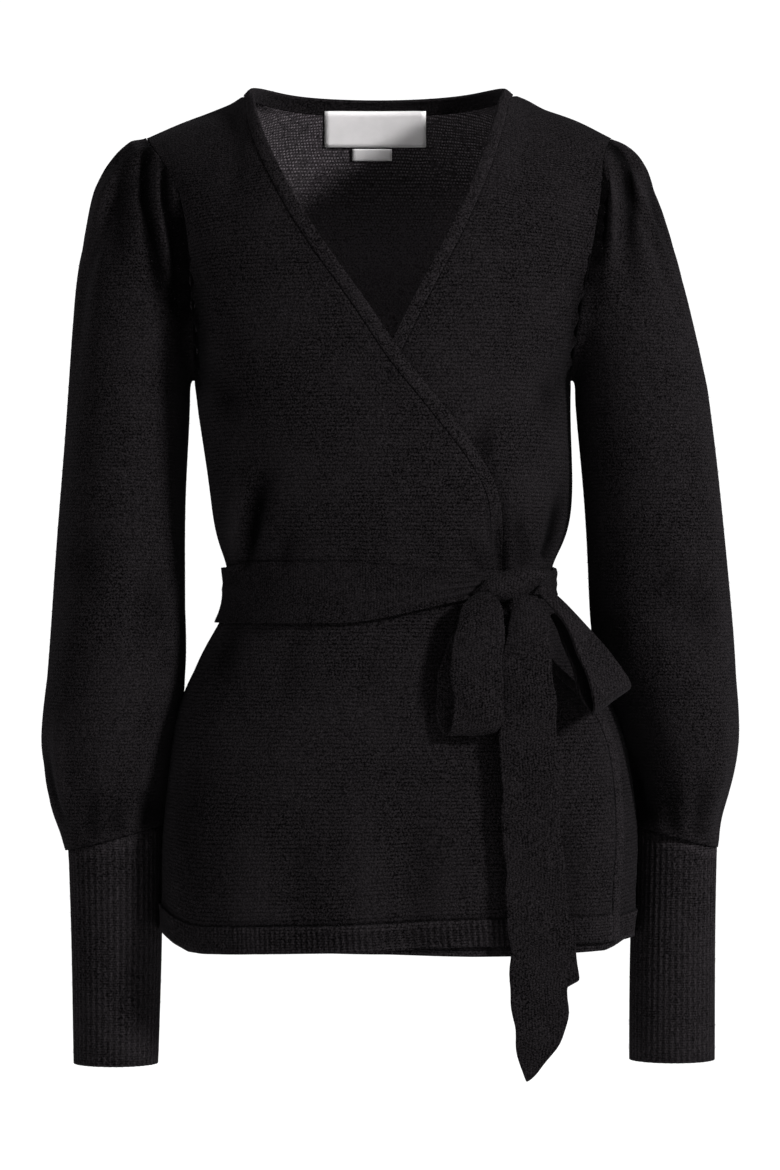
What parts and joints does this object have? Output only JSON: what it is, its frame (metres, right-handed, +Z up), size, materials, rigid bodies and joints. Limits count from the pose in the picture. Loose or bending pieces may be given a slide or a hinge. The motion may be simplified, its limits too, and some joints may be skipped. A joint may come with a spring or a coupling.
{
  "type": "wrap cardigan",
  "caption": "Knitted wrap cardigan with balloon sleeves, long ribbed cuffs, a rolled V neck edge and a sash tied in a bow at one side.",
  "frame": {"origin": "the middle of the neck, level with the tops of the neck edge at both shoulders, where the wearer's neck and shoulders hold the cardigan up", "axes": "+Z up the wearer's body, +Y toward the wearer's back, +X toward the wearer's left side"},
  "size_m": [0.5078, 0.2328, 0.7123],
  "materials": {
    "back": "fine garter-like wool-blend knit, matte and fuzzy, near black",
    "front_right": "fine garter-like wool-blend knit, matte and fuzzy, near black",
    "front_left": "fine garter-like wool-blend knit, matte and fuzzy, near black",
    "back_hem_rib": "ribbed wool-blend knit, matte and slightly fuzzy",
    "front_right_hem_rib": "ribbed wool-blend knit, matte and slightly fuzzy",
    "front_left_hem_rib": "ribbed wool-blend knit, matte and slightly fuzzy",
    "neck_band": "fine garter-like wool-blend knit, matte and fuzzy, near black",
    "sleeve_right": "fine garter-like wool-blend knit, matte and fuzzy, near black",
    "sleeve_left": "fine garter-like wool-blend knit, matte and fuzzy, near black",
    "cuff_right": "ribbed wool-blend knit, matte and slightly fuzzy",
    "cuff_left": "ribbed wool-blend knit, matte and slightly fuzzy",
    "belt": "fine garter-like wool-blend knit, matte and fuzzy, near black",
    "belt_knot": "fine garter-like wool-blend knit, matte and fuzzy, near black",
    "bow_loop_right": "fine garter-like wool-blend knit, matte and fuzzy, near black",
    "bow_loop_left": "fine garter-like wool-blend knit, matte and fuzzy, near black",
    "tail_front": "fine garter-like wool-blend knit, matte and fuzzy, near black",
    "tail_back": "fine garter-like wool-blend knit, matte and fuzzy, near black",
    "neck_label": "bare satin-woven label, off-white",
    "size_tag": "bare satin-woven tag, off-white"
  },
  "bodies": {
    "root": {"back": "back", "front_right": "front_right", "front_left": "front_left", "back_hem_rib": "back_hem_rib", "front_right_hem_rib": "front_right_hem_rib", "front_left_hem_rib": "front_left_hem_rib", "neck_band": "neck_band", "sleeve_right": "sleeve_right", "sleeve_left": "sleeve_left", "cuff_right": "cuff_right", "cuff_left": "cuff_left", "belt": "belt", "belt_knot": "belt_knot", "bow_loop_right": "bow_loop_right", "bow_loop_left": "bow_loop_left", "tail_front": "tail_front", "tail_back": "tail_back", "neck_label": "neck_label", "size_tag": "size_tag"}
  },
  "joints": []
}
